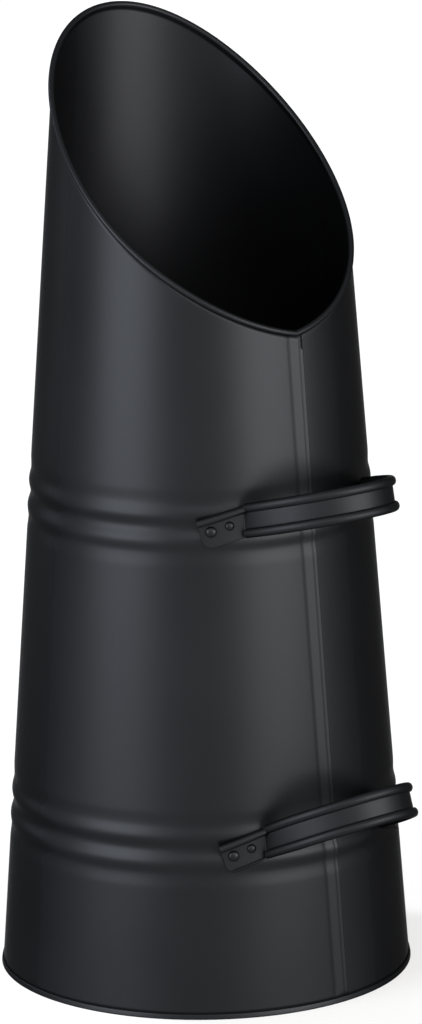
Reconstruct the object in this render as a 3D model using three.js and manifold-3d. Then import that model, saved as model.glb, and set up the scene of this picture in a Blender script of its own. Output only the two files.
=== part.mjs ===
// A tall coal scuttle of sheet steel: a tapered round body with a slanting wired mouth, a folded
// seam, two pairs of swaged beads, a pan seamed on below and two strap handles riveted to the low side.
// Millimetres, +Z up. The low side of the mouth, the seam and the handles face -Y.
import * as THREE from "three";
import { mergeVertices } from "three/addons/utils/BufferGeometryUtils.js";
import Module from "manifold-3d";

const wasm = await Module();
wasm.setup();

// Body: a cone of thin sheet, measured on its outer face.
const footRadius = 125;
const lipRadius = 82.7;
const lipHeight = 578.3;
const throatHeight = 412.7;
const wall = 0.7;
const mouthBow = 2.9; // the mouth line rises this far at lip and throat, and sinks as far at the sides
const throatDip = 8.6; // the two edges of the mouth run down into a shallow V at the seam
const throatDipAngle = 0.9; // radians to each side of the seam
const blankSkew = THREE.MathUtils.degToRad(3.6); // the rolled sheet closes askew: low point against seam foot

// Wired rim: the sheet steps in a little and is rolled outwards round a wire, so that the roll sits
// astride the wall.
const wireRadius = 0.9;
const rollGap = 0.25;
const rollTurn = THREE.MathUtils.degToRad(265);

// Swaged beads: two ridges with a groove between them, twice up the body.
const beadPairHeights = [102.7, 296.3];
const beadSpacing = 15.7;
const beadHeight = 0.5;
const grooveDepth = 0.8;
const beadWidth = 11;

// Folded seam up the low side.
const seamWidth = 8.4;
const seamStep = 3.3; // the lower fold, on the left
const seamRise = 0.8;
const seamLowRise = 0.35;
const seamRound = 0.6; // the folds' rounded edges
const seamRoot = 0.5; // how deep they are joined into the wall

// Base: the pan's edge is folded round the foot of the wall.
const panSheet = 0.7;
const seamGap = 0.3;
const hemHeight = 3.2;
const hemRound = 0.5;
const panRecess = 7;
const panCorner = 2;
const footFlare = 0.25;
const flareHeight = 10;

// Handles: a steel strap with both edges curled outwards, bent into a bow.
const strapSheet = 1;
const strapWidth = 21;
const curlRadius = 2.5;
const curlLift = 0.6; // from the middle of the strap's sheet to the middle of the curl
const curlOpening = THREE.MathUtils.degToRad(30); // half of the angle that the curl leaves open
const bowHalfSpan = 46.5;
const tabLength = 27;
const tabWidth = 18.6;
const tabBend = 1.6; // the tab's flat ends this far short of the bend
const tabTwist = 9; // over this length its sections turn into the bend line
const bowTwist = 0.3; // and over this share of the bow they turn on to its crown
const tabCurlRadius = 2.1;
const lowTabCurlRadius = 1.5;
const curlProud = 0.2; // the tab's curls stand out from its edges
const tabCorner = 5;
const tabGap = 0.3; // from the tab to the ridges that it lies on
const upperHandle = { name: "upper_handle", height: 300.2, reach: 62.5, tilt: 14.5, lean: 2.8, tabSlope: 16 };
const lowerHandle = { name: "lower_handle", height: 106.2, reach: 64, tilt: 24.5, lean: 6, tabSlope: 19 };
const handles = [upperHandle, lowerHandle];

// Rivets: each tab has a large one near its end and a small one near the bend.
const rivets = [
  { name: "outer", fromBend: 20.6, headRadius: 3.3, headHeight: 1.9, shankRadius: 1.6 },
  { name: "inner", fromBend: 9.2, headRadius: 2.7, headHeight: 1.5, shankRadius: 1.3 },
];
const headRim = 0.3; // the straight edge under the dome
const rivetTail = 1.2;
const tailSpread = 1.7; // its radius over the shank's
const rivetGap = 0.3;
const holeReach = 8;

const COLUMNS = 48;
const ROLL_STEPS = 6;
const WIRE_SIDES = 6;
const CORNER_STEPS = 3;
const TAB_STEPS = 4;
const BOW_STEPS = 8;
const CURL_STEPS = 6;
const DOME_STEPS = 3;
const RIVET_SIDES = 10;
const HOLE_SIDES = 12;

const taper = (footRadius - lipRadius) / lipHeight;
const throatRadius = footRadius - taper * throatHeight;
const mouthSlope = (lipHeight - throatHeight) / (lipRadius + throatRadius);
const rollRadius = wireRadius + rollGap + wall;

const sheetPaint = { color: 0x2b2d31, roughness: 0.55, metalness: 0.3 };
const handlePaint = { color: 0x26282b, roughness: 0.5, metalness: 0.3 };
const rivetPaint = { color: 0x303236, roughness: 0.42, metalness: 0.4 };
const wireSteel = { color: 0x6f7174, roughness: 0.45, metalness: 1 };

// ---- solids -------------------------------------------------------------------------------

function solidOf(geometry) {
  const bare = geometry.index ? geometry.clone() : geometry;
  bare.deleteAttribute("normal");
  bare.deleteAttribute("uv");
  const merged = mergeVertices(bare, 1e-4);
  const mesh = new wasm.Mesh({
    numProp: 3,
    vertProperties: merged.attributes.position.array,
    triVerts: new Uint32Array(merged.index.array),
  });
  return new wasm.Manifold(mesh);
}

function geometryOf(solid) {
  const mesh = solid.getMesh();
  const geometry = new THREE.BufferGeometry();
  geometry.setAttribute("position", new THREE.BufferAttribute(mesh.vertProperties, 3));
  geometry.setIndex(new THREE.BufferAttribute(mesh.triVerts, 1));
  geometry.computeVertexNormals();
  return geometry;
}

// Skins a row of rings. A closed loft joins its last ring to its first; an open one is capped.
function loft(rings, closed) {
  const size = rings[0].length;
  const points = rings.flat();
  const faces = [];
  const spans = closed ? rings.length : rings.length - 1;
  for (let i = 0; i < spans; i++) {
    const here = i * size;
    const there = ((i + 1) % rings.length) * size;
    for (let j = 0; j < size; j++) {
      const next = (j + 1) % size;
      faces.push(here + j, here + next, there + next, here + j, there + next, there + j);
    }
  }
  if (!closed) {
    const last = (rings.length - 1) * size;
    for (const [a, b, c] of capOf(rings[0])) {
      faces.push(a, c, b);
    }
    for (const [a, b, c] of capOf(rings[rings.length - 1])) {
      faces.push(last + a, last + b, last + c);
    }
  }
  const geometry = new THREE.BufferGeometry().setFromPoints(points);
  geometry.setIndex(volumeOf(points, faces) < 0 ? faces.reverse() : faces);
  return geometry;
}

// The signed volume inside a closed skin: negative when its faces point inwards.
function volumeOf(points, faces) {
  let volume = 0;
  for (let i = 0; i < faces.length; i += 3) {
    const [a, b, c] = [points[faces[i]], points[faces[i + 1]], points[faces[i + 2]]];
    volume += a.dot(b.clone().cross(c)) / 6;
  }
  return volume;
}

// Triangles that fill a flat ring, turned the way the ring runs.
function capOf(ring) {
  const centre = ring.reduce((sum, p) => sum.add(p), new THREE.Vector3()).divideScalar(ring.length);
  const normal = new THREE.Vector3();
  ring.forEach((p, i) => {
    const q = ring[(i + 1) % ring.length];
    normal.add(p.clone().sub(centre).cross(q.clone().sub(centre)));
  });
  normal.normalize();
  const side = ring[0].clone().sub(centre).projectOnPlane(normal).normalize();
  const up = normal.clone().cross(side);
  const flat = ring.map((p) => {
    const v = p.clone().sub(centre);
    return new THREE.Vector2(v.dot(side), v.dot(up));
  });
  return THREE.ShapeUtils.triangulateShape(flat, []);
}

// ---- body ---------------------------------------------------------------------------------

// Height of a swaged ridge or groove above the plain cone.
function beadRelief(z) {
  let relief = 0;
  for (const middle of beadPairHeights) {
    const d = Math.abs(z - middle);
    const fromCrest = Math.abs(d - beadSpacing / 2);
    if (d < beadSpacing / 2) {
      const share = (1 + Math.cos((Math.PI * fromCrest) / (beadSpacing / 2))) / 2;
      relief += beadHeight * share - grooveDepth * (1 - share);
    } else if (fromCrest < beadWidth / 2) {
      relief += (beadHeight * (1 + Math.cos((Math.PI * fromCrest) / (beadWidth / 2)))) / 2;
    }
  }
  return relief;
}

// Distance of the wall's outer face from the plain cone: its ridges, and the flare at its foot.
function wallOffset(z) {
  const flare = z < flareHeight ? footFlare * (1 - z / flareHeight) : 0;
  return beadRelief(z) + flare;
}

function outerRadius(z) {
  return footRadius - taper * z + wallOffset(z);
}

// A point at a distance from the plain cone, at an azimuth counted from -Y towards +X.
function onCone(azimuth, z, offset) {
  const r = footRadius - taper * z + offset;
  return new THREE.Vector3(r * Math.sin(azimuth), -r * Math.cos(azimuth), z);
}

function coneNormal(azimuth) {
  return new THREE.Vector3(Math.sin(azimuth), -Math.cos(azimuth), taper).normalize();
}

// Height of the mouth line at an angle round from its low point.
function mouthHeight(angle) {
  const round = Math.abs(Math.atan2(Math.sin(angle), Math.cos(angle)));
  const onPlane = lipHeight - mouthSlope * lipRadius - mouthSlope * footRadius * Math.cos(round);
  const dip = throatDip * Math.max(0, 1 - round / throatDipAngle) ** 2;
  return onPlane / (1 - mouthSlope * taper * Math.cos(round)) + mouthBow * Math.cos(2 * round) - dip;
}

// The middle of the wire, with the rim's own axes: out from the wall, and up across the rim.
function rimFrame(angle) {
  const centreAt = (a) => onCone(a - blankSkew, mouthHeight(a), 0);
  const step = 0.03;
  const along = centreAt(angle + step).sub(centreAt(angle - step)).normalize();
  const out = coneNormal(angle - blankSkew);
  out.addScaledVector(along, -out.dot(along)).normalize();
  const up = out.clone().cross(along).normalize();
  return { centre: centreAt(angle), out, up: up.z < 0 ? up.negate() : up };
}

// One column of the wall's section: up the outer face, round the roll, back and down the inner face.
function wallSection(angle) {
  const azimuth = angle - blankSkew;
  const { centre, out, up } = rimFrame(angle);
  const rolled = (turn, radius) =>
    centre
      .clone()
      .addScaledVector(out, -radius * Math.cos(turn))
      .addScaledVector(up, radius * Math.sin(turn));
  const turns = [];
  for (let i = 0; i <= ROLL_STEPS; i++) {
    turns.push((rollTurn * i) / ROLL_STEPS);
  }
  const stepLevel = mouthHeight(angle) - (2 * rollRadius) / up.z; // from here the sheet steps in
  const levels = [...wallLevels(), stepLevel];
  const face = (depth) => levels.map((z) => onCone(azimuth, z, wallOffset(z) - depth));
  return [
    ...face(0),
    ...turns.map((t) => rolled(t, rollRadius - wall)),
    ...turns.reverse().map((t) => rolled(t, rollRadius)),
    ...face(wall).reverse(),
  ];
}

// Heights at which the wall's outline has a corner: at the foot, and over each pair of ridges.
function wallLevels() {
  const crest = beadSpacing / 2;
  const edge = crest + beadWidth / 2;
  const marks = [-edge, -crest, -crest / 2, 0, crest / 2, crest, edge];
  const beads = beadPairHeights.flatMap((middle) => marks.map((mark) => middle + mark));
  return [panSheet + seamGap, flareHeight / 3, flareHeight, ...beads];
}

function seamAzimuth(z) {
  return (-blankSkew * z) / throatHeight;
}

// The folded seam: a low fold and a raised one side by side, carried up the wall.
function seamFold() {
  const top = mouthHeight(0) - rollRadius - rollGap;
  const levels = [hemHeight + seamGap, ...wallLevels().slice(2), top];
  const left = -seamWidth / 2;
  const ridge = left + seamStep;
  const right = seamWidth / 2;
  const section = [
    [left - seamRound, -seamRoot],
    [right, -seamRoot],
    [right, seamRise - seamRound / 4],
    [right - seamRound, seamRise],
    [ridge + seamRound, seamRise],
    [ridge, seamLowRise],
    [left + seamRound, seamLowRise],
  ];
  const rings = levels.map((z) => {
    const onSeam = (across, rise) => onCone(seamAzimuth(z) + across / outerRadius(z), z, wallOffset(z) + rise);
    return section.map(([across, rise]) => onSeam(across, rise));
  });
  return loft(rings, false);
}

function bodyShell() {
  const rings = [];
  for (let i = 0; i < COLUMNS; i++) {
    rings.push(wallSection((2 * Math.PI * i) / COLUMNS));
  }
  let shell = solidOf(loft(rings, true)).add(solidOf(seamFold()));
  for (const seat of rivetSeats()) {
    shell = shell.subtract(solidOf(rivetHole(seat)));
  }
  return geometryOf(shell);
}

function rimWire() {
  const rings = [];
  for (let i = 0; i < COLUMNS; i++) {
    const { centre, out, up } = rimFrame((2 * Math.PI * i) / COLUMNS);
    const ring = [];
    for (let j = 0; j < WIRE_SIDES; j++) {
      const turn = (2 * Math.PI * j) / WIRE_SIDES;
      const point = centre.clone();
      point.addScaledVector(out, wireRadius * Math.cos(turn));
      point.addScaledVector(up, wireRadius * Math.sin(turn));
      ring.push(point);
    }
    rings.push(ring);
  }
  return loft(rings, true);
}

// ---- base ---------------------------------------------------------------------------------

// The pan: a floor held up off the ground, an upstand inside the wall, and an edge turned up outside it.
function basePan() {
  const hemIn = outerRadius(panSheet + seamGap) + seamGap;
  const hemOut = hemIn + panSheet;
  const standOut = (z) => outerRadius(z) - wall - seamGap; // the upstand leans in with the wall
  const standIn = (z) => standOut(z) - panSheet;
  const turnIn = panRecess - panCorner;
  const middle = flareHeight / 3;
  const profile = [
    [0, panRecess],
    [standIn(turnIn) - panCorner, panRecess],
    [standIn(turnIn), turnIn],
    [standIn(middle), middle],
    [standIn(0), 0],
    [hemOut - hemRound, 0],
    [hemOut, hemRound],
    [hemOut, hemHeight - hemRound],
    [hemOut - hemRound, hemHeight],
    [hemIn, hemHeight],
    [hemIn, panSheet],
    [standOut(panSheet), panSheet],
    [standOut(middle), middle],
    [standOut(turnIn), turnIn],
    [standOut(turnIn) - panCorner - panSheet / 2, panRecess + panSheet],
    [0, panRecess + panSheet],
  ];
  const lathe = new THREE.LatheGeometry(
    profile.map(([r, z]) => new THREE.Vector2(r, z)),
    COLUMNS,
  );
  lathe.rotateX(Math.PI / 2);
  lathe.rotateZ(-blankSkew); // its facets lie flat against those of the wall
  return geometryOf(solidOf(lathe));
}

// ---- handles ------------------------------------------------------------------------------

const tabMiddle = beadHeight + tabGap + strapSheet / 2; // from the plain cone to the middle of the tab

// Where the tab's middle line runs on the body, by distance back from the bend.
function tabPoint(handle, back, offset) {
  const slope = THREE.MathUtils.degToRad(handle.tabSlope);
  const z = handle.height - back * Math.sin(slope);
  const r = footRadius - taper * z;
  const bendAzimuth = Math.asin(bowHalfSpan / (footRadius - taper * handle.height + tabMiddle));
  return onCone(-bendAzimuth - (back * Math.cos(slope)) / r, z, offset);
}

// Stations of the left half, from the tab's end to the crown of the bow. Each has a place, the
// direction across the strap and the direction out from its face.
function leftStations(handle) {
  return [...tabStations(handle), ...bowStations(handle)];
}

// The bow stands straight out of the tab, so the two meet along a line up the wall.
const bendLine = new THREE.Vector3(0, taper, 1).normalize();

function tabStations(handle) {
  const backs = [];
  for (let i = 0; i <= CORNER_STEPS; i++) {
    backs.push(tabLength - tabCorner * (1 - Math.cos((Math.PI * i) / (2 * CORNER_STEPS))));
  }
  for (let i = 1; i <= TAB_STEPS; i++) {
    backs.push(THREE.MathUtils.lerp(tabLength - tabCorner, tabBend, i / TAB_STEPS));
  }
  return backs.map((back) => {
    const place = tabPoint(handle, back, tabMiddle);
    const along = tabPoint(handle, back - tabBend, tabMiddle).sub(place).normalize();
    const out = coneNormal(Math.atan2(place.x, -place.y));
    const across = out.clone().cross(along).lerp(bendLine, Math.max(0, 1 - back / tabTwist));
    return { place, out, across: across.normalize(), tabBack: back };
  });
}

function bowStations(handle) {
  const tilt = THREE.MathUtils.degToRad(handle.tilt);
  const lean = THREE.MathUtils.degToRad(handle.tilt - handle.lean);
  const start = tabPoint(handle, 0, tabMiddle);
  const bow = new THREE.EllipseCurve(0, 0, bowHalfSpan, handle.reach, Math.PI, Math.PI / 2, true);
  const tilted = (x, outward) => new THREE.Vector3(x, -outward * Math.cos(tilt), outward * Math.sin(tilt));
  const crownLine = new THREE.Vector3(0, Math.sin(lean), Math.cos(lean));
  const stations = [];
  for (let i = 1; i <= BOW_STEPS; i++) {
    const share = (i / BOW_STEPS) ** 1.6; // closer together near the bend
    const flat = bow.getPoint(share);
    const along = bow.getTangent(share);
    const place = tilted(flat.x, flat.y).add(new THREE.Vector3(0, start.y, start.z));
    const across = bendLine.clone().lerp(crownLine, Math.min(1, share / bowTwist)).normalize();
    const out = tilted(along.x, along.y).cross(across).normalize();
    stations.push({ place, out, across, tabBack: null });
  }
  return stations;
}

function mirrored(station) {
  const flip = (v) => new THREE.Vector3(-v.x, v.y, v.z);
  return { ...station, place: flip(station.place), out: flip(station.out), across: flip(station.across) };
}

function placed(station, across, out) {
  return station.place.clone().addScaledVector(station.across, across).addScaledVector(station.out, out);
}

// The flat of the strap: one ribbon from tab to tab. Its lower outer corners are rounded.
function ribbon(stations) {
  const face = strapSheet / 2;
  const bowEdge = strapWidth / 2 - 1.5 * curlRadius;
  const rings = stations.map((station) => {
    let low = -bowEdge;
    let high = bowEdge;
    if (station.tabBack !== null) {
      const toEnd = Math.max(0, tabCorner - (tabLength - station.tabBack));
      low = -tabWidth / 2 + tabCorner - Math.sqrt(tabCorner ** 2 - toEnd ** 2);
      high = tabWidth / 2 - tabCurlRadius + strapSheet / 2;
    }
    return [
      placed(station, low, -face),
      placed(station, high, -face),
      placed(station, high, face),
      placed(station, low, face),
    ];
  });
  return loft(rings, false);
}

// An edge rolled outwards into an open tube along some stations. The tube's section starts at an
// angle round from the strap's own plane and stops short of meeting the strap again.
function curl(stations, { side, radius, middle, lift, from }) {
  const to = Math.PI - curlOpening;
  const arc = (r) => {
    const points = [];
    for (let i = 0; i <= CURL_STEPS; i++) {
      const turn = from + ((to - from) * i) / CURL_STEPS;
      points.push([side * (middle + r * Math.cos(turn)), lift + r * Math.sin(turn)]);
    }
    return points;
  };
  const section = [...arc(radius), ...arc(radius - strapSheet).reverse()];
  return loft(
    stations.map((station) => section.map(([across, out]) => placed(station, across, out))),
    false,
  );
}

// The bow's curls stand proud on both faces of the strap.
function bowCurl(stations, side) {
  const middle = strapWidth / 2 - curlRadius;
  return curl(stations, { side, radius: curlRadius, middle, lift: curlLift, from: curlOpening - Math.PI });
}

// A tab's curls start flat from its back, which lies on the wall.
function tabCurl(stations, side, radius) {
  const middle = tabWidth / 2 + curlProud - radius;
  return curl(stations, { side, radius, middle, lift: radius - strapSheet / 2, from: -Math.PI / 2 });
}

function handleGeometry(handle) {
  const left = leftStations(handle);
  const right = left.map(mirrored).reverse();
  const whole = [...left, ...right.slice(1)];
  const bow = whole.filter((station) => station.tabBack === null);
  const pieces = [ribbon(whole), bowCurl(bow, 1), bowCurl(bow, -1)];
  for (const half of [left, right]) {
    const tab = half.filter((station) => station.tabBack !== null);
    pieces.push(tabCurl(tab, 1, tabCurlRadius));
    if (handle === lowerHandle) {
      const straight = tab.filter((station) => station.tabBack < tabLength - tabCorner / 2);
      pieces.push(tabCurl(straight, -1, lowTabCurlRadius));
    }
  }
  let solid = pieces.map(solidOf).reduce((joined, piece) => joined.add(piece));
  for (const seat of rivetSeats().filter((s) => s.handle === handle)) {
    solid = solid.subtract(solidOf(rivetHole(seat)));
  }
  return geometryOf(solid);
}

// ---- rivets -------------------------------------------------------------------------------

// Each rivet's place on the plain cone and its axis.
function rivetSeats() {
  const seats = [];
  for (const handle of handles) {
    for (const side of ["left", "right"]) {
      for (const rivet of rivets) {
        const place = tabPoint(handle, rivet.fromBend, 0);
        if (side === "right") {
          place.x = -place.x;
        }
        const axis = coneNormal(Math.atan2(place.x, -place.y));
        const name = `${handle.name}_${side}_${rivet.name}_rivet`;
        seats.push({ name, handle, rivet, place, axis });
      }
    }
  }
  return seats;
}

function alongAxis(geometry, seat) {
  const turn = new THREE.Quaternion().setFromUnitVectors(new THREE.Vector3(0, 0, 1), seat.axis);
  geometry.applyQuaternion(turn);
  geometry.translate(seat.place.x, seat.place.y, seat.place.z);
  return geometry;
}

function rivetHole(seat) {
  const radius = seat.rivet.shankRadius + rivetGap;
  const hole = new THREE.CylinderGeometry(radius, radius, holeReach, HOLE_SIDES);
  hole.rotateX(Math.PI / 2);
  return alongAxis(hole, seat);
}

// A domed head on the tab, a shank through tab and wall, and a closed tail inside the body.
function rivetGeometry({ headRadius, headHeight, shankRadius }) {
  const headSeat = tabMiddle + strapSheet / 2 + rivetGap;
  const tailSeat = -grooveDepth - wall - rivetGap;
  const tailRadius = shankRadius * tailSpread;
  const profile = [
    [0, tailSeat - rivetTail],
    [shankRadius, tailSeat - rivetTail],
    [tailRadius, tailSeat - rivetTail / 2],
    [tailRadius, tailSeat],
    [shankRadius, tailSeat],
    [shankRadius, headSeat],
    [headRadius, headSeat],
  ];
  for (let i = 0; i < DOME_STEPS; i++) {
    const turn = (Math.PI * i) / (2 * DOME_STEPS);
    profile.push([headRadius * Math.cos(turn), headSeat + headRim + headHeight * Math.sin(turn)]);
  }
  profile.push([0, headSeat + headRim + headHeight]);
  const lathe = new THREE.LatheGeometry(
    profile.map(([r, z]) => new THREE.Vector2(r, z)),
    RIVET_SIDES,
  );
  lathe.rotateX(Math.PI / 2);
  return geometryOf(solidOf(lathe));
}

// ---- assembly -----------------------------------------------------------------------------

function named(name, geometry, paint) {
  const mesh = new THREE.Mesh(geometry, new THREE.MeshStandardMaterial(paint));
  mesh.name = name;
  return mesh;
}

const scuttle = new THREE.Group();
scuttle.add(named("body_shell", bodyShell(), sheetPaint));
scuttle.add(named("rim_wire", rimWire(), wireSteel));
scuttle.add(named("base_pan", basePan(), sheetPaint));
for (const handle of handles) {
  scuttle.add(named(handle.name, handleGeometry(handle), handlePaint));
}
for (const seat of rivetSeats()) {
  const mesh = named(seat.name, rivetGeometry(seat.rivet), rivetPaint);
  mesh.position.copy(seat.place);
  mesh.quaternion.setFromUnitVectors(new THREE.Vector3(0, 0, 1), seat.axis);
  scuttle.add(mesh);
}

// The part's origin is at floor level under the middle of its bounding box.
const bounds = new THREE.Box3().setFromObject(scuttle);
scuttle.position.y = -(bounds.min.y + bounds.max.y) / 2;

export default scuttle;
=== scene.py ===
"""The looks of a tall coal scuttle: powder-coated sheet steel with a slanting wired mouth, a folded
seam, swaged ridges, a base pan and two riveted strap handles, in a plain studio.

Lengths are worked out in millimetres about the body's own axis and put into the meshes in metres.
Azimuths are counted in radians from -Y, the low side of the mouth, towards +X. Every piece stands
for one node of the part, and rides on its one body.
"""

import math

import bpy
import numpy as np
from mathutils import Matrix, Vector


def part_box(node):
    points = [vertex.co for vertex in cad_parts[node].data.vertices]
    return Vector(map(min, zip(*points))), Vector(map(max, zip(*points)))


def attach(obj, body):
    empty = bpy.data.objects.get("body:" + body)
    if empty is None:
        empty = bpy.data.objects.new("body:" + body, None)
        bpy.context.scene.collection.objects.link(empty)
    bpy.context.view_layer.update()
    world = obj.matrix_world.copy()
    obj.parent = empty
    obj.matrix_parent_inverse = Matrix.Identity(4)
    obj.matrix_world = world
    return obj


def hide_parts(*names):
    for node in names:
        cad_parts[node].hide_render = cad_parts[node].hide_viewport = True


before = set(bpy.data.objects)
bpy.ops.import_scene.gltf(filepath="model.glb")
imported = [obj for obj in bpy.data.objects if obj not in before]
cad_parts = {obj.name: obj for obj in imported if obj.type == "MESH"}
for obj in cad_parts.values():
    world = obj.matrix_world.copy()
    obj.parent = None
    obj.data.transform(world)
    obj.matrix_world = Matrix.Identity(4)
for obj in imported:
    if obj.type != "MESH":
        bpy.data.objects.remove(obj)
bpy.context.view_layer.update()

# ---- sizes --------------------------------------------------------------------------------------
# As in the part's source, with the finer forms that the photograph shows up close.

FOOT_RADIUS = 125.0
LIP_RADIUS = 82.7
LIP_HEIGHT = 578.3
THROAT_HEIGHT = 412.7
WALL = 0.7
MOUTH_BOW = 2.89  # the mouth line rises at its high and low points and falls at its sides
THROAT_DIP = 8.6  # the shallow V where the mouth line meets the seam
THROAT_DIP_ANGLE = 0.9
BLANK_SKEW = math.radians(3.6)  # the seam leans to the left as it rises, and the mouth turns with it

WIRE_RADIUS = 0.9
ROLL_GAP = 0.25
ROLL_TURN = math.radians(265)
ROLL_RADIUS = WIRE_RADIUS + ROLL_GAP + WALL

BEAD_PAIR_HEIGHTS = (102.7, 296.3)
BEAD_SPACING = 15.7
BEAD_HEIGHT = 0.5
GROOVE_DEPTH = 0.9
DIP_DEPTH = 0.45  # the sheet draws in a little beyond each pair of ridges
DIP_AT = 15.2
DIP_END = 24.0
BEAD_STEP = 0.8  # height between the rows of points across a pair

SEAM_TOP = 0.78
# The folded seam in section: distance to the right of its middle, and height over the wall.
SEAM_SECTION = (
    (-8.0, 0.0),
    (-7.0, -0.03),
    (-5.6, -0.17),
    (-4.6, -0.22),
    (-4.0, -0.16),
    (-3.0, 0.05),
    (-1.5, 0.40),
    (0.0, 0.72),
    (0.6, SEAM_TOP),
    (1.8, SEAM_TOP),
)
# The sharp right-hand fold, as heights over the seam's top, and the plain flank in its place
# close under the rim.
FOLD_EDGE = (
    (1.8, 0.0),
    (2.6, 0.16),
    (3.4, 0.32),
    (3.8, 0.31),
    (4.0, -0.1),
    (4.2, -0.7),
    (4.4, -SEAM_TOP),
    (6.0, -SEAM_TOP),
    (9.0, -SEAM_TOP),
)
PLAIN_FLANK = ((2.6, 0.0), (4.2, -SEAM_TOP))
EDGE_START = 9.0  # the sharp fold starts this far under the rim
EDGE_GROWS = 2.0  # and reaches its full height over this length
SEAM_PRESSED = 0.3  # share of the seam's height that is left under the pan's edge
SEAM_REACH = 8.6  # distance from the seam's middle that its fine columns cover
SEAM_COLUMNS = 87
ROUND_COLUMNS = 200

PAN_SHEET = 0.7
SEAM_GAP = 0.25
HEM_HEIGHT = 3.2
HEM_ROUND = 0.5
HEM_LEAN = 0.5  # the edge leans in towards its top
FOOT_PINCH = 0.4  # the wall is drawn in behind the pan's edge
PINCH_END = 4.8
PAN_RECESS = 7.0
PAN_CORNER = 2.0
PAN_LEAN = 0.4  # the upstand leans in with the wall

STRAP_SHEET = 1.0
STRAP_WIDTH = 21.0
CURL_RADIUS = 2.95
CURL_LIFT = 0.35  # from the middle of the strap's sheet to the middle of the curl
CURL_SQUASH = 0.82  # the curls are a little flatter than round
CURL_OPENING = math.radians(30)  # half of the angle that a curl leaves open
BOW_HALF_SPAN = 46.5
TAB_LENGTH = 27.0
TAB_WIDTH = 18.6
TAB_TWIST = 9.0  # length of tab over which the strap turns to lie along the bend
BOW_TWIST = 0.3  # share of the bow over which it turns on to the lean of its crown
TAB_CURL_RADIUS = 2.4
LOW_TAB_CURL_RADIUS = 1.5
TAB_CORNER = 5.0
TAB_GAP = 0.3
TAB_MIDDLE = BEAD_HEIGHT + TAB_GAP + STRAP_SHEET / 2
UPPER_HANDLE = {"name": "upper_handle", "height": 300.2, "reach": 62.5, "tilt": 14.5, "lean": 2.8, "slope": 16.0}
LOWER_HANDLE = {"name": "lower_handle", "height": 106.2, "reach": 64.0, "tilt": 24.5, "lean": 6.0, "slope": 19.0}

OUTER_RIVET = {"name": "outer", "from_bend": 20.6, "head_radius": 3.3, "head_height": 1.9, "shank_radius": 1.6}
INNER_RIVET = {"name": "inner", "from_bend": 9.2, "head_radius": 2.7, "head_height": 1.5, "shank_radius": 1.3}
HEAD_RIM = 0.3
RIVET_TAIL = 1.2
TAIL_SPREAD = 1.7

TAPER = (FOOT_RADIUS - LIP_RADIUS) / LIP_HEIGHT
THROAT_RADIUS = FOOT_RADIUS - TAPER * THROAT_HEIGHT
MOUTH_SLOPE = (LIP_HEIGHT - THROAT_HEIGHT) / (LIP_RADIUS + THROAT_RADIUS)

pan_low, pan_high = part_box("base_pan")
AXIS_Y = 500.0 * (pan_low.y + pan_high.y)  # the body's axis in the part's frame, in millimetres

# ---- camera -------------------------------------------------------------------------------------

VIEW_AZIMUTH = math.radians(40.8)  # the camera stands this far round from -Y towards -X
CAMERA_DISTANCE = 3526.4
CAMERA_HEIGHT = 1151.5
CAMERA_PITCH, CAMERA_YAW, CAMERA_ROLL = (math.radians(a) for a in (13.868, 0.1054, 0.768))


def seen_from_camera(right, ahead, up):
    """A point given in millimetres to the right of the body's axis, ahead of it and up from the
    floor, as the camera faces it, in the part's frame in metres."""
    c, s = math.cos(VIEW_AZIMUTH), math.sin(VIEW_AZIMUTH)
    return Vector((right * c + ahead * s, -right * s + ahead * c + AXIS_Y, up)) / 1000


def place_camera():
    """The camera stands back from the body's axis and looks level with a downward pitch, then turns
    by a small yaw and roll. Its long side is 36 mm of sensor."""
    pitch, yaw, roll = CAMERA_PITCH, CAMERA_YAW, CAMERA_ROLL
    ahead = Vector((math.sin(yaw) * math.cos(pitch), math.cos(yaw) * math.cos(pitch), -math.sin(pitch)))
    level = Vector((math.cos(yaw), -math.sin(yaw), 0))
    upright = level.cross(ahead)
    right = level * math.cos(roll) - upright * math.sin(roll)
    up = level * math.sin(roll) + upright * math.cos(roll)
    turn = Matrix((right, up, -ahead)).transposed()
    turn = Matrix.Rotation(-VIEW_AZIMUTH, 3, "Z") @ turn
    lens = bpy.data.cameras.new("camera")
    lens.sensor_fit = "VERTICAL"
    lens.sensor_height = 36
    lens.lens = 210.94
    lens.clip_end = 100
    camera = bpy.data.objects.new("camera", lens)
    place = Matrix.Translation(seen_from_camera(0, -CAMERA_DISTANCE, CAMERA_HEIGHT))
    camera.matrix_world = place @ turn.to_4x4()
    bpy.context.scene.collection.objects.link(camera)
    bpy.context.scene.camera = camera


place_camera()

# ---- meshes -------------------------------------------------------------------------------------


def make_piece(name, points, faces, node, material, crease=40):
    """A mesh object from points in millimetres about the body's axis and rows of corner numbers,
    which stands for a node of the part. Edges sharper than the crease, in degrees, stay sharp."""
    mesh = bpy.data.meshes.new(name)
    metres = (points + np.array((0, AXIS_Y, 0))) / 1000
    corners = np.concatenate([block.ravel() for block in faces])
    sizes = np.concatenate([np.full(len(block), block.shape[1]) for block in faces])
    mesh.vertices.add(len(metres))
    mesh.vertices.foreach_set("co", metres.astype(np.float32).ravel())
    mesh.loops.add(len(corners))
    mesh.loops.foreach_set("vertex_index", corners.astype(np.int32))
    mesh.polygons.add(len(sizes))
    mesh.polygons.foreach_set("loop_start", (np.cumsum(sizes) - sizes).astype(np.int32))
    mesh.polygons.foreach_set("use_smooth", np.ones(len(sizes), bool))
    mesh.update(calc_edges=True)
    mesh.validate()
    mesh.set_sharp_from_angle(angle=math.radians(crease))
    mesh.materials.append(material)
    piece = bpy.data.objects.new(name, mesh)
    bpy.context.scene.collection.objects.link(piece)
    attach(piece, "root")
    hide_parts(node)
    return piece


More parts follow.
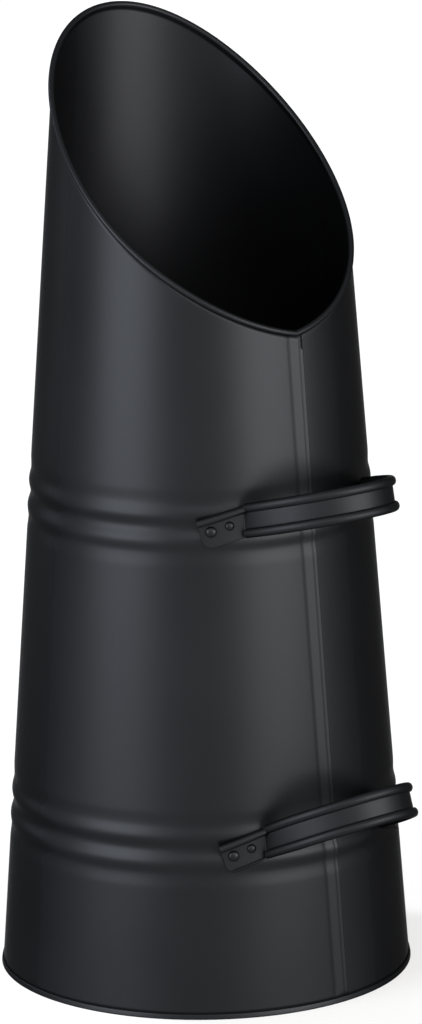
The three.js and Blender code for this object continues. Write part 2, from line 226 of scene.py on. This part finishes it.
def grid_faces(rows, columns, close_rows, close_columns, first=0):
    """Four-cornered faces over a grid of points stored row by row, joined up where it closes."""
    number = first + np.arange(rows * columns).reshape(rows, columns)
    if close_rows:
        number = np.vstack([number, number[:1]])
    if close_columns:
        number = np.hstack([number, number[:, :1]])
    return np.stack([number[:-1, :-1], number[:-1, 1:], number[1:, 1:], number[1:, :-1]], -1).reshape(-1, 4)


def volume(points, faces):
    """Signed volume inside a closed skin, from the tetrahedra between each face's triangles and the origin."""
    total = 0.0
    for block in faces:
        for k in range(1, block.shape[1] - 1):
            a, b, c = points[block[:, 0]], points[block[:, k]], points[block[:, k + 1]]
            total += np.einsum("ij,ij->i", a, np.cross(b, c)).sum()
    return total


def outwards(points, faces):
    """The same faces, turned round where the skin would be inside out."""
    return [block[:, ::-1] for block in faces] if volume(points, faces) < 0 else faces


def on_cone(azimuth, z, offset):
    """A point at a distance from the body's plain cone, measured level."""
    radius = FOOT_RADIUS - TAPER * z + offset
    return np.stack([radius * np.sin(azimuth), -radius * np.cos(azimuth), z + 0 * azimuth], -1)


def cone_normal(azimuth):
    """The cone's outward direction: level, and raised by the taper."""
    out = np.stack([np.sin(azimuth), -np.cos(azimuth), TAPER + 0 * azimuth], -1)
    return out / np.linalg.norm(out, axis=-1, keepdims=True)


def unit(v):
    return v / np.linalg.norm(v, axis=-1, keepdims=True)


def smooth(t):
    """Zero to one with level ends, as three t squared less two t cubed."""
    t = np.clip(t, 0, 1)
    return t * t * (3 - 2 * t)


# ---- body ---------------------------------------------------------------------------------------


def wave(d, start, end, low, high):
    """Half a cosine wave from one height to another between two distances, and level beyond them."""
    share = np.clip((d - start) / (end - start), 0, 1)
    return low + (high - low) * (1 - np.cos(math.pi * share)) / 2


def bead_relief(z):
    """At each pair's height, half cosine waves: a groove, a ridge above and below it, and beyond each
    ridge a shallow dip that fades into the plain wall."""
    relief = np.zeros_like(z)
    half = BEAD_SPACING / 2
    for middle in BEAD_PAIR_HEIGHTS:
        d = np.abs(z - middle)
        groove = wave(d, 0, half, -GROOVE_DEPTH, BEAD_HEIGHT)
        flank = wave(d, half, DIP_AT, BEAD_HEIGHT, -DIP_DEPTH)
        fade = wave(d, DIP_AT, DIP_END, -DIP_DEPTH, 0)
        relief += np.where(d < half, groove, np.where(d < DIP_AT, flank, fade))
    return relief


def seam_rise(s, under_rim, above_foot):
    """Height of the folded seam over the wall, at a distance to the right of its middle: a shallow
    valley, a long soft rise, a level and a second short rise up to the sharp edge on the right. The
    section's points are joined by straight lines and then averaged over four tenths of a
    millimetre. The second rise starts a little under the rim, and the whole fold is pressed flatter
    behind the pan's edge."""
    starts = smooth((under_rim - EDGE_START) / EDGE_GROWS)

    def lines(at, section):
        across, high = np.transpose(section)
        return np.interp(at, across, high)

    def height(at):
        return lines(at, SEAM_SECTION) + starts * lines(at, FOLD_EDGE) + (1 - starts) * lines(at, PLAIN_FLANK)

    soft = (height(s - 0.2) + 2 * height(s) + height(s + 0.2)) / 4
    return soft * (SEAM_PRESSED + (1 - SEAM_PRESSED) * smooth((above_foot - HEM_HEIGHT) / 3))


def foot_pinch(z):
    """How far the wall is drawn in at its foot: fully behind the pan's edge, and fading out above it."""
    return FOOT_PINCH * (1 - smooth((z - HEM_HEIGHT) / (PINCH_END - HEM_HEIGHT)))


def seam_azimuth(z):
    """The seam's lean: its azimuth grows evenly with height up to the throat."""
    return -BLANK_SKEW * np.minimum(z, THROAT_HEIGHT) / THROAT_HEIGHT


def mouth_height(angle):
    """Height of the mouth line at an angle round from its low point: an oblique plane through the
    cone, bowed by a cosine of twice the angle, with a shallow V where its ends meet."""
    turn = np.abs(np.arctan2(np.sin(angle), np.cos(angle)))
    plane = LIP_HEIGHT - MOUTH_SLOPE * LIP_RADIUS - MOUTH_SLOPE * FOOT_RADIUS * np.cos(turn)
    dip = THROAT_DIP * np.maximum(0, 1 - turn / THROAT_DIP_ANGLE) ** 2
    return plane / (1 - MOUTH_SLOPE * TAPER * np.cos(turn)) + MOUTH_BOW * np.cos(2 * turn) - dip


def rim_frame(angle):
    """The wire's middle along the mouth line, and the rim's own directions out from the wall and up."""

    def middle(a):
        return on_cone(a - BLANK_SKEW, mouth_height(a), 0)

    along = unit(middle(angle + 0.02) - middle(angle - 0.02))
    out = cone_normal(angle - BLANK_SKEW)
    out = unit(out - along * np.sum(out * along, -1, keepdims=True))
    up = np.cross(out, along)
    up *= np.sign(up[:, 2:])
    return middle(angle), out, unit(up)


def seam_columns():
    """Columns round the body: one every fifth of a millimetre across the seam, then evenly round.
    Each is an angle and a distance, so that the seam keeps its width as the cone narrows."""
    across = np.linspace(-SEAM_REACH, SEAM_REACH, SEAM_COLUMNS)
    turn = np.linspace(0, 2 * math.pi, ROUND_COLUMNS + 2)[1:-1]
    return (
        np.concatenate([np.zeros(SEAM_COLUMNS), turn]),
        np.concatenate([across, SEAM_REACH * (1 - turn / math.pi)]),
    )


def body_shell(material):
    """One sheet as a closed grid, with columns round the body and rows along the sheet's section: up
    the outer face, through a step inwards, round the wire, and back down the inner face. Up to the
    upper ridges each row is level, and from there the rows rise in even shares to the mouth line."""
    turn, across = seam_columns()
    beads = [m + np.arange(-DIP_END, DIP_END + 0.01, BEAD_STEP) for m in BEAD_PAIR_HEIGHTS]
    low = np.concatenate(
        [
            (PAN_SHEET + SEAM_GAP, 2.5, 3.2, 3.6, 4, 4.4, 4.8, 5.1, 5.4, 6, 8, 10, 14, 20),
            np.linspace(28, beads[0][0] - 4, 7),
            beads[0],
            np.linspace(beads[0][-1] + 3, beads[1][0] - 3, 18),
            beads[1],
        ]
    )
    angle = turn + across / THROAT_RADIUS
    for _ in range(4):  # the body's radius at the mouth depends on the angle in turn
        angle = turn + across / (FOOT_RADIUS - TAPER * mouth_height(angle))
    middle, out, up = rim_frame(angle)
    rim_z = mouth_height(angle)
    step_z = rim_z - 2 * ROLL_RADIUS / up[:, 2]
    share = np.r_[np.linspace(0, 0.9, 41)[1:], np.linspace(0.9, 1, 13)[1:]][:, None]
    high = low[-1] + (step_z - low[-1]) * share
    z = np.vstack([np.repeat(low[:, None], len(turn), 1), high])

    def face(z, depth):
        azimuth = turn + across / (FOOT_RADIUS - TAPER * z) + seam_azimuth(z)
        fold = np.where(turn == 0, seam_rise(across, rim_z - z, z), 0) if depth == 0 else 0
        return on_cone(azimuth, z, bead_relief(z) - foot_pinch(z) - depth + fold)

    def stepped(depth):
        t = np.linspace(0, 1, 9)[1:-1, None]
        level = step_z + (rim_z - step_z) * t
        start = face(level, depth)
        return start - out * ((ROLL_RADIUS - WALL) * smooth(t))[..., None]

    def rolled(turns, radius):
        c, s = np.cos(turns)[:, None, None], np.sin(turns)[:, None, None]
        return middle - out * radius * c + up * radius * s

    turns = np.linspace(0, ROLL_TURN, 17)
    inner_rows = np.r_[0 : len(low) : 3, len(low) : len(z) : 3, len(z) - 1]
    rows = np.vstack(
        [
            face(z, 0),
            stepped(0),
            rolled(turns, ROLL_RADIUS - WALL),
            rolled(turns[::-1], ROLL_RADIUS),
            stepped(WALL)[::-1],
            face(z[inner_rows], WALL)[::-1],
        ]
    )
    points = rows.reshape(-1, 3)
    faces = outwards(points, [grid_faces(rows.shape[0], rows.shape[1], True, True)])
    return make_piece("rolled_sheet_body", points, faces, "body_shell", material)


def rim_wire(material):
    """A round wire swept along the mouth line."""
    angle = np.linspace(0, 2 * math.pi, 289)[:-1]
    middle, out, up = rim_frame(angle)
    turn = np.linspace(0, 2 * math.pi, 13)[:-1][:, None, None]
    rows = middle + WIRE_RADIUS * (out * np.cos(turn) + up * np.sin(turn))
    points = rows.reshape(-1, 3)
    faces = outwards(points, [grid_faces(12, 288, True, True)])
    return make_piece("wire_in_rim", points, faces, "rim_wire", material)


def rounded(profile, radius, steps=5):
    """A closed or open outline with each inner corner replaced by a short arc-like curve: a blend of
    the corner's two neighbours' directions, cut back by the radius or by half a side."""
    profile = np.asarray(profile, float)
    points = [profile[0]]
    for a, b, c, r in zip(profile[:-2], profile[1:-1], profile[2:], radius):
        back, on = a - b, c - b
        cut = min(r, 0.5 * np.linalg.norm(back), 0.5 * np.linalg.norm(on))
        p, q = b + back / np.linalg.norm(back) * cut, b + on / np.linalg.norm(on) * cut
        t = np.linspace(0, 1, steps)[:, None]
        points.extend((1 - t) ** 2 * p + 2 * t * (1 - t) * b + t * t * q)
    points.append(profile[-1])
    return np.array(points)


def revolved(profile, columns):
    """Points and faces of an outline of radii and heights turned about the Z axis. The outline starts
    and ends on the axis, where a fan of triangles closes it."""
    turn = np.linspace(0, 2 * math.pi, columns + 1)[:-1]
    ring = profile[1:-1]
    x = ring[:, :1] * np.sin(turn)
    y = -ring[:, :1] * np.cos(turn)
    z = np.repeat(ring[:, 1:], columns, 1)
    grid = np.stack([x, y, z], -1).reshape(-1, 3)
    points = np.vstack([grid, (0, 0, profile[0, 1]), (0, 0, profile[-1, 1])])
    first = np.arange(columns)
    after = (first + 1) % columns
    last = (len(ring) - 1) * columns
    start, end = np.full(columns, len(grid)), np.full(columns, len(grid) + 1)
    faces = [
        grid_faces(len(ring), columns, False, True),
        np.stack([start, after, first], -1),
        np.stack([end, last + first, last + after], -1),
    ]
    return points, outwards(points, faces)


def base_pan(material):
    """The pan as one outline about the axis: floor, corner, upstand inside the wall, the face that it
    stands on, and the edge turned up outside the wall."""
    hem_in = FOOT_RADIUS - TAPER * PAN_SHEET + SEAM_GAP
    hem_out = hem_in + PAN_SHEET
    stand_out = FOOT_RADIUS - FOOT_PINCH - WALL - SEAM_GAP
    stand_in = stand_out - PAN_SHEET
    top = PAN_RECESS + PAN_SHEET
    outline = [
        (0, PAN_RECESS),
        (stand_in - PAN_LEAN - PAN_CORNER, PAN_RECESS),
        (stand_in - PAN_LEAN, PAN_RECESS - PAN_CORNER),
        (stand_in, 0),
        (hem_out, 0),
        (hem_out, PAN_SHEET),
        (hem_out - HEM_LEAN, HEM_HEIGHT),
        (hem_in - HEM_LEAN, HEM_HEIGHT),
        (hem_in, PAN_SHEET),
        (stand_out, PAN_SHEET),
        (stand_out - PAN_LEAN, PAN_RECESS - PAN_CORNER),
        (stand_out - PAN_LEAN - PAN_CORNER - PAN_SHEET / 2, top),
        (0, top),
    ]
    bends = (1.5, 1.5, 0.3, HEM_ROUND, HEM_ROUND, HEM_ROUND, 0.15, 0.1, 0.1, 1.5, 1.5)
    points, faces = revolved(rounded(outline, bends), 288)
    return make_piece("folded_base_pan", points, faces, "base_pan", material)


# ---- handles ------------------------------------------------------------------------------------

BEND_LINE = unit(np.array((0, TAPER, 1.0)))  # the bow stands straight out of the tab along this line


def tab_point(handle, back, offset):
    """The tab's middle line on the cone, by distance back from the bend."""
    slope = math.radians(handle["slope"])
    z = handle["height"] - back * math.sin(slope)
    radius = FOOT_RADIUS - TAPER * z
    bend = math.asin(BOW_HALF_SPAN / (FOOT_RADIUS - TAPER * handle["height"] + TAB_MIDDLE))
    return on_cone(-bend - back * math.cos(slope) / radius, z, offset)


def tab_stations(handle, backs):
    """Places along the tab with the directions across the strap and out from it."""
    place = tab_point(handle, backs, TAB_MIDDLE)
    along = unit(tab_point(handle, backs - 0.5, TAB_MIDDLE) - place)
    out = cone_normal(np.arctan2(place[:, 0], -place[:, 1]))
    square = np.cross(out, along)
    turn = np.clip(1 - backs / TAB_TWIST, 0, 1)[:, None]
    return place, unit(square * (1 - turn) + BEND_LINE * turn), out


def bow_stations(handle, share):
    """Places along the left half of the bow, a quarter of an ellipse in a plane that tilts up
    outwards. The strap turns from the bend line to the lean of its crown."""
    tilt = math.radians(handle["tilt"])
    lean = math.radians(handle["tilt"] - handle["lean"])
    start = tab_point(handle, np.array(0.0), TAB_MIDDLE)
    phi = share * math.pi / 2
    outward = handle["reach"] * np.sin(phi)
    left = -BOW_HALF_SPAN * np.cos(phi)
    place = np.stack([left, start[1] - outward * math.cos(tilt), start[2] + outward * math.sin(tilt)], -1)
    ahead = handle["reach"] * np.cos(phi)
    along = unit(np.stack([BOW_HALF_SPAN * np.sin(phi), -ahead * math.cos(tilt), ahead * math.sin(tilt)], -1))
    crown = np.array((0, math.sin(lean), math.cos(lean)))
    turn = smooth(share / BOW_TWIST)[:, None]
    across = unit(BEND_LINE * (1 - turn) + crown * turn)
    return place, across, unit(np.cross(along, across))


def sheet_outline(line, sheet):
    """A closed outline round a bent line of sheet: the line set off to both sides by half the sheet,
    with rounded ends."""
    ahead = unit(np.gradient(line, axis=0))
    side = np.stack([-ahead[:, 1], ahead[:, 0]], -1)
    half = sheet / 2
    t = np.linspace(-1, 1, 7)[1:-1, None] * math.pi / 2
    first = line[0] + half * (-ahead[0] * np.cos(t) + side[0] * np.sin(t))
    last = line[-1] + half * (ahead[-1] * np.cos(t) - side[-1] * np.sin(t))
    return np.vstack([first, line + half * side, last, (line - half * side)[::-1]])


def arc(middle, radius, start, end, count):
    """Points on a circle from one angle to another."""
    t = np.linspace(start, end, count)
    return np.stack([middle[0] + radius * np.cos(t), middle[1] + radius * np.sin(t)], -1)


def bow_line():
    """The bow's strap in section, as across and out: a flat web whose edges dip behind it and roll
    round to the front in a flattened circle, almost back to the web."""
    radius = CURL_RADIUS - STRAP_SHEET / 2
    middle = (STRAP_WIDTH / 2 - CURL_RADIUS, CURL_LIFT)
    roll = arc(middle, radius, math.pi - CURL_OPENING, math.radians(-150), 25)
    roll[:, 1] = CURL_LIFT + CURL_SQUASH * (roll[:, 1] - CURL_LIFT)
    web_edge = middle[0] - radius - 0.9
    corner = np.array((roll[-1], (middle[0] - radius - 0.1, 0), (web_edge, 0)))
    t = np.linspace(0, 1, 7)[1:, None]
    fillet = (1 - t) ** 2 * corner[0] + 2 * t * (1 - t) * corner[1] + t * t * corner[2]
    upper = np.vstack([roll, fillet])
    lower = upper[::-1] * (-1, 1)
    web = np.stack([np.linspace(web_edge, -web_edge, 9)[1:-1], np.zeros(7)], -1)
    return np.vstack([upper, web, lower])


def swept(section, place, across, out):
    """A closed skin: a section of across and out values carried along stations, with flat ends. The
    section may be one outline, or one for each station."""
    if section.ndim == 2:
        section = np.repeat(section[None], len(place), 0)
    rows = place[:, None] + across[:, None] * section[..., :1] + out[:, None] * section[..., 1:]
    count = section.shape[1]
    return rows.reshape(-1, 3), grid_faces(len(place), count, False, True), count


def sheet_caps(count, stations):
    """Faces that close the two ends of a swept sheet, a ladder of quads from one side to the other."""
    half = count // 2
    left = np.arange(half)
    right = count - 1 - left
    ladder = np.stack([left[:-1], left[1:], right[1:], right[:-1]], -1)
    return [ladder[:, ::-1], ladder + (stations - 1) * count]


def strap_part(section, place, across, out):
    """A length of sheet: a swept skin with both ends closed, facing outwards."""
    points, skin, count = swept(section, place, across, out)
    faces = [skin] + sheet_caps(count, len(place))
    # The ladder's faces must turn with the skin's, whichever way the section runs.
    closed = volume(points, faces)
    flipped = [skin, faces[1][:, ::-1], faces[2][:, ::-1]]
    if abs(volume(points, flipped)) > abs(closed):
        faces = flipped
    return points, outwards(points, faces)


def joined(parts):
    """Several skins as one list of points and faces."""
    points, faces, first = [], [], 0
    for part_points, part_faces in parts:
        points.append(part_points)
        faces += [block + first for block in part_faces]
        first += len(part_points)
    return np.vstack(points), faces


def mirrored(part):
    """The same skin on the other side of the body, with its faces turned round to stay outwards."""
    points, faces = part
    return points * (-1, 1, 1), [block[:, ::-1] for block in faces]


def tab_part(handle, low_curl):
    """A tab: flat sheet whose upper edge rolls over to the front. The lower corner at its end is a
    quarter circle, so the sheet's lower edge is drawn in over the last few millimetres."""
    corner = TAB_LENGTH - TAB_CORNER * (1 - np.cos(np.linspace(0, math.pi / 2, 10)))
    backs = np.concatenate([corner, np.linspace(corner[-1], 0.4, 14)[1:]])
    to_end = np.clip(TAB_CORNER - (TAB_LENGTH - backs), 0, TAB_CORNER)
    low = -TAB_WIDTH / 2 + TAB_CORNER - np.sqrt(TAB_CORNER**2 - to_end**2)
    radius = TAB_CURL_RADIUS - STRAP_SHEET / 2
    middle = (TAB_WIDTH / 2 + 0.2 - TAB_CURL_RADIUS, radius)
    roll = arc(middle, radius, math.pi - CURL_OPENING, -math.pi / 2, 20)
    sections = []
    for edge in low:
        web = np.stack([np.linspace(middle[0], edge, 12)[1:], np.zeros(11)], -1)
        sections.append(sheet_outline(np.vstack([roll, web]), STRAP_SHEET))
    parts = [strap_part(np.array(sections), *tab_stations(handle, backs))]
    if low_curl:
        radius = LOW_TAB_CURL_RADIUS - STRAP_SHEET / 2
        middle = (-TAB_WIDTH / 2 - 0.2 + LOW_TAB_CURL_RADIUS, radius)
        roll = arc(middle, radius, -math.pi / 2, CURL_OPENING - 3 * math.pi / 2, 16)
        straight = np.linspace(TAB_LENGTH - TAB_CORNER * 0.6, 0.4, 14)
        parts.append(strap_part(sheet_outline(roll, STRAP_SHEET * 0.8), *tab_stations(handle, straight)))
    return joined(parts)


def bend_part(handle):
    """The flat of the strap round the bend between tab and bow: stations on both sides of the bend,
    joined by a quadratic curve that has the bend's sharp corner as its middle point."""
    a = tab_stations(handle, np.array([2.2, 1.2]))[0]
    b = bow_stations(handle, np.array([0.012, 0.025]))[0]
    start = tab_point(handle, np.array(0.0), TAB_MIDDLE)
    t = np.linspace(0, 1, 9)[:, None]
    curve = (1 - t) ** 2 * a[1] + 2 * t * (1 - t) * start + t * t * b[0]
    place = np.vstack([a[:1], curve, b[1:]])
    across = np.repeat(BEND_LINE[None], len(place), 0)
    along = unit(np.gradient(place, axis=0))
    out = unit(np.cross(along, across))
    edge = STRAP_WIDTH / 2 - 1.3 * CURL_RADIUS
    web = np.stack([np.linspace(edge, -edge, 9), np.zeros(9)], -1)
    return strap_part(sheet_outline(web, STRAP_SHEET - 0.02), place, across, out)


def strap_handle(handle, low_curl, material):
    """A whole handle: the bow from bend to bend, and for each side a bend and a tab."""
    half = np.linspace(0.02, 1, 60)
    place, across, out = bow_stations(handle, half)
    flip = np.array((-1, 1, 1))
    place = np.vstack([place, place[-2::-1] * flip])
    across = np.vstack([across, across[-2::-1] * flip])
    out = np.vstack([out, out[-2::-1] * flip])
    bow = strap_part(sheet_outline(bow_line(), STRAP_SHEET), place, across, out)
    tab, bend = tab_part(handle, low_curl), bend_part(handle)
    points, faces = joined([bow, tab, mirrored(tab), bend, mirrored(bend)])
    name = handle["name"].replace("handle", "strap_handle")
    return make_piece(name, points, faces, handle["name"], material, 50)


# ---- rivets -------------------------------------------------------------------------------------


def rivet(handle, side, kind, material):
    """A dome head on the tab, a shank through it and a closed tail inside the body, as one outline
    turned about the rivet's own axis and set on the cone."""
    head, high, shank = kind["head_radius"], kind["head_height"], kind["shank_radius"]
    seat = TAB_MIDDLE + STRAP_SHEET / 2
    tail = -GROOVE_DEPTH - WALL
    spread = shank * TAIL_SPREAD
    dome = np.linspace(0, math.pi / 2, 13)[:-1]
    outline = np.vstack(
        [
            (0, tail - RIVET_TAIL),
            (shank, tail - RIVET_TAIL),
            (spread * 0.9, tail - RIVET_TAIL * 0.75),
            (spread, tail - RIVET_TAIL * 0.4),
            (spread, tail),
            (shank, tail),
            (shank, seat),
            (head, seat),
            np.stack([head * np.cos(dome), seat + HEAD_RIM + high * np.sin(dome)], -1),
            (0, seat + HEAD_RIM + high),
        ]
    )
    points, faces = revolved(outline, 36)
    spot = tab_point(handle, np.array(kind["from_bend"]), 0)
    if side == "right":
        spot = spot * (-1, 1, 1)
    axis = cone_normal(np.arctan2(spot[0], -spot[1]))
    right = unit(np.cross((0, 0, 1.0), axis))
    turned = points @ np.stack([right, np.cross(axis, right), axis])
    node = f"{handle['name']}_{side}_{kind['name']}_rivet"
    return make_piece("dome_" + node, spot + turned, faces, node, material)


# ---- materials ----------------------------------------------------------------------------------


COAT_COLOUR = "#1f2022"
COAT_LIGHTER = "#212224"
PEEL_SIZE = 1000 / 900  # millimetres from hill to hill, 900 to the metre
DRIFT_SIZE = 1000 / 9  # millimetres over which the coat's colour and gloss drift
DRIFT_RANGE = (0.3, 0.7)  # the noise's own low and high values
WIRE_MARKS = 2.5  # millimetres


def linear(code):
    """An sRGB hex colour as linear red, green, blue and alpha."""
    values = [int(code[i : i + 2], 16) / 255 for i in (1, 3, 5)]
    return [v / 12.92 if v <= 0.04045 else ((v + 0.055) / 1.055) ** 2.4 for v in values] + [1.0]


def add(tree, kind, settings=None, **links):
    """A node with its settings by name, and its inputs given as values or as sockets to link.
    An input's name has underscores for spaces, and i with a number picks it by place."""
    node = tree.nodes.new(kind)
    for key, value in (settings or {}).items():
        setattr(node, key, value)
    for key, value in links.items():
        by_place = key[0] == "i" and key[1:].isdigit()
        socket = node.inputs[int(key[1:]) if by_place else key.replace("_", " ")]
        if isinstance(value, bpy.types.NodeSocket):
            tree.links.new(value, socket)
        else:
            socket.default_value = value
    return node


def new_material(name):
    material = bpy.data.materials.new(name)
    material.use_nodes = True
    material.node_tree.nodes.clear()
    return material, material.node_tree


def powder_coat(name, roughness):
    """Satin graphite powder coat baked on sheet steel: a very dark blue-grey film full of fine metal
    flake, which gives the eye a broad soft sheen and no bright edge where the wall turns away. The
    melted grains leave a fine orange peel, about a millimetre from hill to hill, and the film's
    colour and gloss drift a little over a hand's breadth. A plain paint would be a gloss over a
    matt base; here the flake gives nearly all of the light, so the coat is mostly metallic, and its
    edge tint is low, because flakes that lie in the film don't brighten as they turn away."""
    material, tree = new_material(name)
    place = add(tree, "ShaderNodeTexCoord").outputs["Object"]
    peel = add(tree, "ShaderNodeTexNoise", Vector=place, Scale=1000 / PEEL_SIZE, Detail=2.0, Roughness=0.5)
    drift = add(tree, "ShaderNodeTexNoise", Vector=place, Scale=1000 / DRIFT_SIZE, Detail=3.0, Roughness=0.55)
    ramp = add(tree, "ShaderNodeValToRGB", Fac=drift.outputs["Fac"])
    for end, at, colour in zip(ramp.color_ramp.elements, DRIFT_RANGE, (COAT_COLOUR, COAT_LIGHTER)):
        end.position, end.color = at, linear(colour)
    rough = add(
        tree,
        "ShaderNodeMapRange",
        Value=drift.outputs["Fac"],
        From_Min=DRIFT_RANGE[0],
        From_Max=DRIFT_RANGE[1],
        To_Min=roughness - 0.02,
        To_Max=roughness + 0.02,
    )
    bump = add(tree, "ShaderNodeBump", Strength=0.12, Distance=0.0002, Height=peel.outputs["Fac"])
    shader = add(
        tree,
        "ShaderNodeBsdfPrincipled",
        Base_Color=ramp.outputs["Color"],
        Roughness=rough.outputs["Result"],
        Normal=bump.outputs["Normal"],
        Metallic=0.9,
        Specular_Tint=(0.12, 0.12, 0.12, 1),
        IOR=1.5,
        Specular_IOR_Level=0.05,
    )
    add(tree, "ShaderNodeOutputMaterial", Surface=shader.outputs["BSDF"])
    return material


def drawn_wire():
    """Bare drawn steel wire: grey metal, dulled by handling, with fine marks a few millimetres apart."""
    material, tree = new_material("drawn steel wire")
    place = add(tree, "ShaderNodeTexCoord").outputs["Object"]
    marks = add(tree, "ShaderNodeTexNoise", Vector=place, Scale=1000 / WIRE_MARKS, Detail=3.0)
    rough = add(tree, "ShaderNodeMapRange", Value=marks.outputs["Fac"], To_Min=0.35, To_Max=0.55)
    shader = add(
        tree,
        "ShaderNodeBsdfPrincipled",
        Base_Color=linear("#8a8c8f"),
        Metallic=1.0,
        Roughness=rough.outputs["Result"],
    )
    add(tree, "ShaderNodeOutputMaterial", Surface=shader.outputs["BSDF"])
    return material


sheet_coat = powder_coat("powder coat on sheet", 0.41)
strap_coat = powder_coat("powder coat on straps", 0.48)  # the straps are a little duller
rivet_coat = powder_coat("powder coat on rivets", 0.38)  # and the rivets' heads a little glossier

body_shell(sheet_coat)
rim_wire(drawn_wire())
base_pan(sheet_coat)
for strap, curled in ((UPPER_HANDLE, False), (LOWER_HANDLE, True)):
    strap_handle(strap, curled, strap_coat)
    for hand in ("left", "right"):
        for size in (OUTER_RIVET, INNER_RIVET):
            rivet(strap, hand, size, rivet_coat)

# ---- studio -------------------------------------------------------------------------------------

WORLD_LIGHT = 0.54
FLOOR_REACH = 12.0  # metres
FLOOR_NEAR, FLOOR_FAR = 0.5, 2.8  # metres from the scuttle between which the floor's own white grows
NEAR_WHITE, FAR_WHITE = 0.57, 0.9
LAMP_AIM = 300  # height in millimetres that the soft boxes face


def seen_ray(tree):
    """One for camera, glossy and transmission rays, and zero for the rest."""
    path = add(tree, "ShaderNodeLightPath").outputs
    larger = {"operation": "MAXIMUM"}
    either = add(tree, "ShaderNodeMath", larger, i0=path["Is Camera Ray"], i1=path["Is Glossy Ray"])
    return add(tree, "ShaderNodeMath", larger, i0=either.outputs[0], i1=path["Is Transmission Ray"]).outputs[0]


def studio_world(level):
    """White wherever it is seen or reflected, and a plain level of light otherwise."""
    world = bpy.data.worlds.new("studio")
    bpy.context.scene.world = world
    world.use_nodes = True
    tree = world.node_tree
    tree.nodes.clear()
    soft = add(tree, "ShaderNodeBackground", Color=(1, 1, 1, 1), Strength=level)
    white = add(tree, "ShaderNodeBackground", Color=(1, 1, 1, 1), Strength=1.0)
    mix = add(tree, "ShaderNodeMixShader", Fac=seen_ray(tree), i1=soft.outputs[0], i2=white.outputs[0])
    add(tree, "ShaderNodeOutputWorld", Surface=mix.outputs[0])


def studio_floor():
    """A wide pale floor that keeps the scuttle's soft shadow. Where it is seen or reflected it also
    has a white of its own, which grows away from the scuttle as the lamps' light falls off."""
    mesh = bpy.data.meshes.new("floor")
    corners = [(x * FLOOR_REACH, y * FLOOR_REACH, 0) for x, y in ((-1, -1), (1, -1), (1, 1), (-1, 1))]
    mesh.from_pydata(corners, [], [(0, 1, 2, 3)])
    material, tree = new_material("white studio floor")
    place = add(tree, "ShaderNodeTexCoord").outputs["Object"]
    away = add(tree, "ShaderNodeVectorMath", {"operation": "LENGTH"}, i0=place).outputs["Value"]
    grow = add(
        tree,
        "ShaderNodeMapRange",
        Value=away,
        From_Min=FLOOR_NEAR,
        From_Max=FLOOR_FAR,
        To_Min=NEAR_WHITE,
        To_Max=FAR_WHITE,
    )
    white = add(tree, "ShaderNodeMath", {"operation": "MULTIPLY"}, i0=seen_ray(tree), i1=grow.outputs["Result"])
    lit = add(tree, "ShaderNodeBsdfDiffuse", Color=linear("#9b9b9b"))
    glow = add(tree, "ShaderNodeEmission", Color=(1, 1, 1, 1), Strength=white.outputs[0])
    both = add(tree, "ShaderNodeAddShader", i0=lit.outputs[0], i1=glow.outputs[0])
    add(tree, "ShaderNodeOutputMaterial", Surface=both.outputs[0])
    mesh.materials.append(material)
    floor = bpy.data.objects.new("floor", mesh)
    bpy.context.scene.collection.objects.link(floor)


def soft_box(name, azimuth, distance, height, width, tall, watts, colour):
    """A soft box on a circle round the body, by its angle to the right of the camera, facing the axis."""
    lamp = bpy.data.lights.new(name, "AREA")
    lamp.shape = "RECTANGLE"
    lamp.size, lamp.size_y = width / 1000, tall / 1000
    lamp.energy = watts
    lamp.color = linear(colour)[:3]
    light = bpy.data.objects.new(name, lamp)
    angle = math.radians(azimuth)
    light.location = seen_from_camera(distance * math.sin(angle), -distance * math.cos(angle), height)
    towards = seen_from_camera(0, 0, LAMP_AIM) - light.location
    light.rotation_euler = towards.to_track_quat("-Z", "Y").to_euler()
    bpy.context.scene.collection.objects.link(light)


studio_world(WORLD_LIGHT)
studio_floor()
# Two low, wide boxes give the two soft bands down the body, a high one lights the inside of the
# mouth, and one behind lights the left edge.
soft_box("left_soft_box", -51, 1800, 650, 1250, 1300, 46, "#fafcff")
soft_box("right_soft_box", 50, 1800, 505, 1550, 1000, 50, "#fffaf6")
soft_box("high_soft_box", 4, 2400, 1500, 1600, 500, 18, "#fffdfb")
soft_box("back_left_soft_box", -115, 1800, 900, 400, 1800, 60, "#fafcff")

bpy.context.scene.view_settings.view_transform = "Standard"
